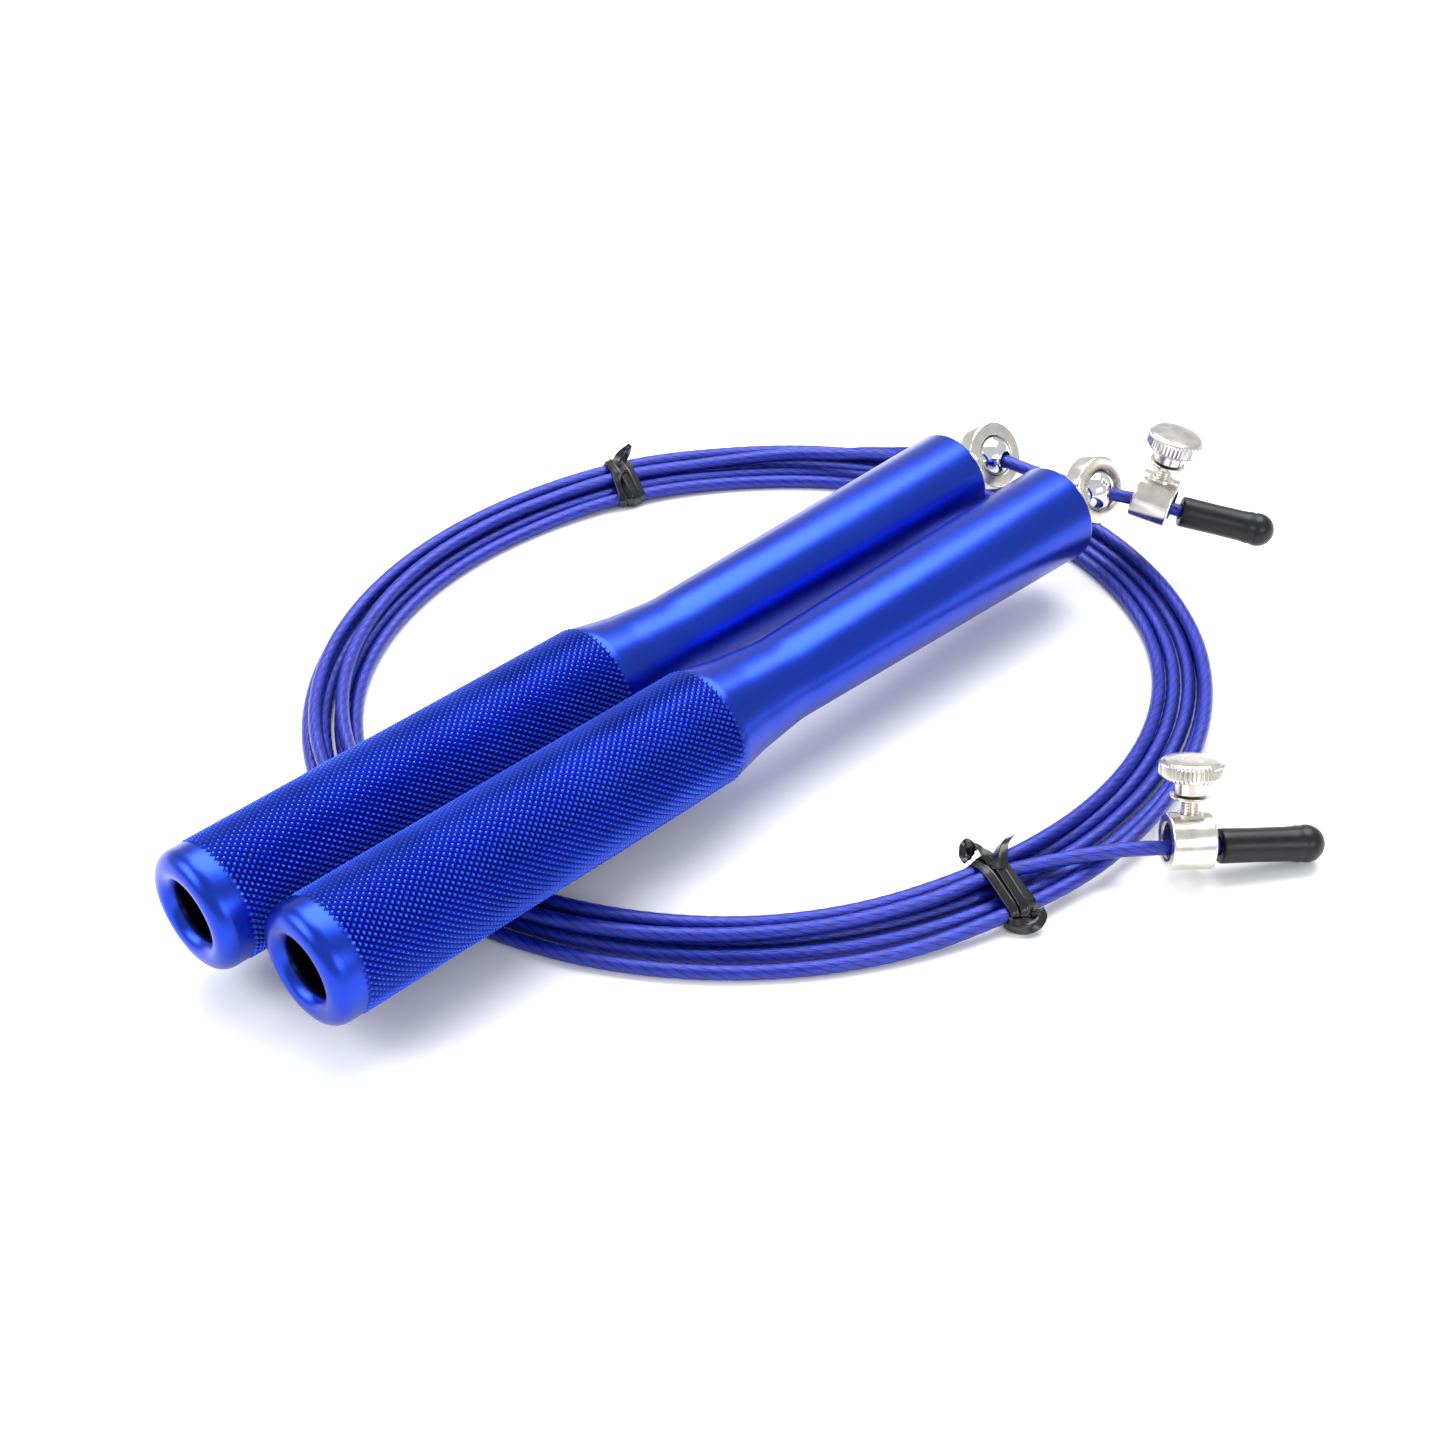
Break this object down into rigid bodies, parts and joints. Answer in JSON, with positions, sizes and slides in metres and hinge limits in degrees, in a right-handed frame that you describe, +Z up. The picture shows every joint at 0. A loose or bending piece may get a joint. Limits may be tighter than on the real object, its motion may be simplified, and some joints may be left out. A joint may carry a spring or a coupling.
{
  "type": "jump rope",
  "caption": "Speed jump rope: knurled aluminium handles that turn on bearings and ball swivels, resting on a tied coil of coated steel cable with screw-clamped stops.",
  "frame": {"origin": "on the floor, under the middle of the box round the two handles and the two ties", "axes": "+X along the handles from grip end to swivel, +Z up, +Y towards the rear handle"},
  "size_m": [0.2086, 0.1723, 0.0301],
  "materials": {
    "blue_aluminium": "anodised",
    "bearing_steel": "ground",
    "nickel": "satin nickel plate",
    "chrome": "polished",
    "brass": "turned",
    "blue_cable": "clear tinted coating over twisted steel wire",
    "black_vinyl": "soft vinyl",
    "black_tie": "gloss"
  },
  "bodies": {
    "rope": {"cable_coil": "blue_cable", "cable_long_end": "blue_cable", "cable_short_end": "blue_cable", "rear_twist_tie": "black_tie", "front_twist_tie": "black_tie", "long_end_cap": "black_vinyl", "short_end_cap": "black_vinyl"},
    "front_ball": {"front_swivel_ball": "chrome"},
    "front_swivel": {"front_swivel_ring": "nickel", "front_tip_bearing_inner_race": "bearing_steel", "front_inner_bearing_inner_race": "bearing_steel", "front_bearing_spacer": "brass", "front_retaining_washer": "nickel", "front_retaining_screw": "nickel"},
    "front_cages": {"front_tip_bearing_ball_cage": "bearing_steel", "front_inner_bearing_ball_cage": "bearing_steel"},
    "front_handle": {"front_handle_body": "blue_aluminium", "front_tip_bearing_outer_race": "bearing_steel", "front_inner_bearing_outer_race": "bearing_steel"},
    "rear_ball": {"rear_swivel_ball": "chrome"},
    "rear_swivel": {"rear_swivel_ring": "nickel", "rear_tip_bearing_inner_race": "bearing_steel", "rear_inner_bearing_inner_race": "bearing_steel", "rear_bearing_spacer": "brass", "rear_retaining_washer": "nickel", "rear_retaining_screw": "nickel"},
    "rear_cages": {"rear_tip_bearing_ball_cage": "bearing_steel", "rear_inner_bearing_ball_cage": "bearing_steel"},
    "rear_handle": {"rear_handle_body": "blue_aluminium", "rear_tip_bearing_outer_race": "bearing_steel", "rear_inner_bearing_outer_race": "bearing_steel"},
    "long_end_stop": {"long_end_stop_collar": "nickel"},
    "long_end_screw": {"long_end_thumb_screw_stud": "nickel"},
    "long_end_head": {"long_end_thumb_screw_head": "nickel"},
    "short_end_stop": {"short_end_stop_collar": "nickel"},
    "short_end_screw": {"short_end_thumb_screw_stud": "nickel"},
    "short_end_head": {"short_end_thumb_screw_head": "nickel"}
  },
  "joints": [
    {"name": "front_lift", "type": "hinge", "parent": "rope", "child": "front_ball", "pos_m": [0.08945, -0.0141, 0.0159], "axis": [-0.4272, 0.9015, 0.0698], "range_deg": [0, 60]},
    {"name": "front_swing", "type": "hinge", "parent": "front_ball", "child": "front_swivel", "pos_m": [0.08945, -0.0141, 0.0159], "axis": [0, 0, 1], "range_deg": [0, 22]},
    {"name": "front_spin", "type": "hinge", "parent": "front_swivel", "child": "front_handle", "pos_m": [0.08945, -0.0141, 0.0159], "axis": [1, 0, 0], "continuous": true},
    {"name": "front_cage_spin", "type": "hinge", "parent": "front_swivel", "child": "front_cages", "pos_m": [0.08945, -0.0141, 0.0159], "axis": [1, 0, 0], "continuous": true},
    {"name": "rear_lift", "type": "hinge", "parent": "rope", "child": "rear_ball", "pos_m": [0.08435, 0.0069, 0.0159], "axis": [-0.163, 0.9754, -0.1481], "range_deg": [0, 60]},
    {"name": "rear_swing", "type": "hinge", "parent": "rear_ball", "child": "rear_swivel", "pos_m": [0.08435, 0.0069, 0.0159], "axis": [0, 0, 1], "range_deg": [-22, 0]},
    {"name": "rear_spin", "type": "hinge", "parent": "rear_swivel", "child": "rear_handle", "pos_m": [0.08435, 0.0069, 0.0159], "axis": [1, 0, 0], "continuous": true},
    {"name": "rear_cage_spin", "type": "hinge", "parent": "rear_swivel", "child": "rear_cages", "pos_m": [0.08435, 0.0069, 0.0159], "axis": [1, 0, 0], "continuous": true},
    {"name": "long_end_stop_slide", "type": "slide", "parent": "rope", "child": "long_end_stop", "axis": [0.5705, -0.8039, -0.1681], "range_m": [-0.0015, 0.0004]},
    {"name": "long_end_screw_travel", "type": "slide", "parent": "long_end_stop", "child": "long_end_screw", "axis": [0.1939, -0.098, 0.9761], "range_m": [0, 0.0015]},
    {"name": "long_end_screw_turn", "type": "hinge", "parent": "long_end_screw", "child": "long_end_head", "pos_m": [0.09611, -0.02356, 0.01552], "axis": [0.1939, -0.098, 0.9761], "range_deg": [0, 1080]},
    {"name": "short_end_stop_slide", "type": "slide", "parent": "rope", "child": "short_end_stop", "axis": [0.7805, -0.6237, -0.043], "range_m": [-0.0025, 0.0007]},
    {"name": "short_end_screw_travel", "type": "slide", "parent": "short_end_stop", "child": "short_end_screw", "axis": [0.2846, 0.2932, 0.9127], "range_m": [0, 0.0015]},
    {"name": "short_end_screw_turn", "type": "hinge", "parent": "short_end_screw", "child": "short_end_head", "pos_m": [0.03191, -0.08088, 0.00669], "axis": [0.2846, 0.2932, 0.9127], "range_deg": [0, 1080]}
  ],
  "couplings": [
    {"joint": "front_cage_spin", "follows": "front_spin", "ratio": 0.59},
    {"joint": "rear_cage_spin", "follows": "rear_spin", "ratio": 0.59},
    {"joint": "long_end_screw_turn", "follows": "long_end_screw_travel", "rad_per_m": 12566},
    {"joint": "short_end_screw_turn", "follows": "short_end_screw_travel", "rad_per_m": 12566}
  ]
}
